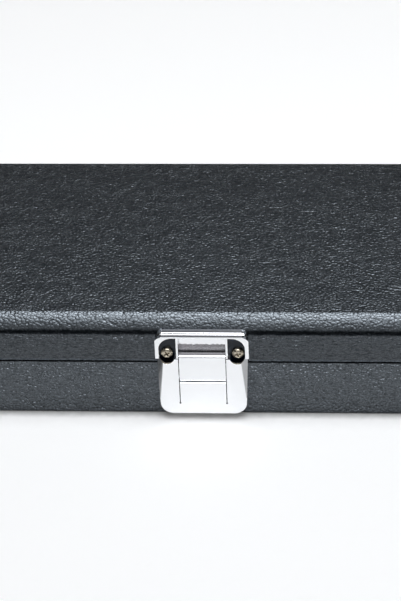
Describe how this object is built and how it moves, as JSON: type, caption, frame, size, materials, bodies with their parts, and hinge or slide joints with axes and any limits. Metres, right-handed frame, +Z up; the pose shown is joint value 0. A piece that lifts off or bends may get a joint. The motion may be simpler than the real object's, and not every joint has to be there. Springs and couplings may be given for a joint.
{
  "type": "pool cue case",
  "caption": "Slim hard case with a hinged lid, snap latches and a swing handle, with a foam cradle that holds the parts of a jointed pool cue.",
  "frame": {"origin": "middle of the face that the closed case rests on", "axes": "+X along the case, -Y towards the latches and handle, +Z up through the lid"},
  "size_m": [0.81, 0.1551, 0.045],
  "materials": {
    "leatherette": "grained, semi-matt",
    "plywood": "raw",
    "strip_plastic": "satin",
    "plush_foam": "short plush",
    "flock": "flocked",
    "chrome": "polished",
    "steel": "plated",
    "screw_metal": "plated",
    "handle_plastic": "moulded grain"
  },
  "bodies": {
    "base": {"base_front_wall": "plywood", "base_back_wall": "plywood", "base_left_end": "plywood", "base_right_end": "plywood", "base_bottom_board": "plywood", "base_side_covering": "leatherette", "base_bottom_covering": "leatherette", "rim_strips": "strip_plastic", "cradle_floor": "plush_foam", "front_rails": "flock", "shaft_dividers": "flock", "butt_dividers": "flock", "back_rails": "flock", "cradle_ends": "flock", "hinge_base_screws": "steel", "handle_pins": "steel", "handle_screws": "screw_metal", "left_hinge_base_leaf": "steel", "middle_hinge_base_leaf": "steel", "right_hinge_base_leaf": "steel", "left_hinge_pin": "steel", "middle_hinge_pin": "steel", "right_hinge_pin": "steel", "left_latch_back_plate": "steel", "left_latch_cover": "chrome", "left_hasp_pin": "steel", "left_latch_plate_screws": "screw_metal", "left_handle_bracket": "chrome", "right_latch_back_plate": "steel", "right_latch_cover": "chrome", "right_hasp_pin": "steel", "right_latch_plate_screws": "screw_metal", "right_handle_bracket": "chrome"},
    "lid": {"lid_front_wall": "plywood", "lid_back_wall": "plywood", "lid_left_end": "plywood", "lid_right_end": "plywood", "lid_top_board": "plywood", "lid_covering": "leatherette", "lid_pad": "plush_foam", "lid_linings": "flock", "hinge_lid_screws": "steel", "left_hinge_lid_leaf": "steel", "middle_hinge_lid_leaf": "steel", "right_hinge_lid_leaf": "steel", "left_keeper": "chrome", "left_keeper_screws": "screw_metal", "right_keeper": "chrome", "right_keeper_screws": "screw_metal"},
    "left_hasp": {"left_hasp": "chrome"},
    "right_hasp": {"right_hasp": "chrome"},
    "handle": {"handle_bow": "handle_plastic"}
  },
  "joints": [
    {"name": "lid_hinge", "type": "hinge", "parent": "base", "child": "lid", "pos_m": [0, 0.0573, 0.0247], "axis": [-1, 0, 0], "range_deg": [0, 180]},
    {"name": "left_hasp_pivot", "type": "hinge", "parent": "base", "child": "left_hasp", "pos_m": [-0.215, -0.058, 0.0198], "axis": [1, 0, 0], "range_deg": [0, 90]},
    {"name": "right_hasp_pivot", "type": "hinge", "parent": "base", "child": "right_hasp", "pos_m": [0.215, -0.058, 0.0198], "axis": [1, 0, 0], "range_deg": [0, 90]},
    {"name": "handle_swing", "type": "hinge", "parent": "base", "child": "handle", "pos_m": [0, -0.0623, 0.012], "axis": [-1, 0, 0], "range_deg": [0, 98]}
  ]
}
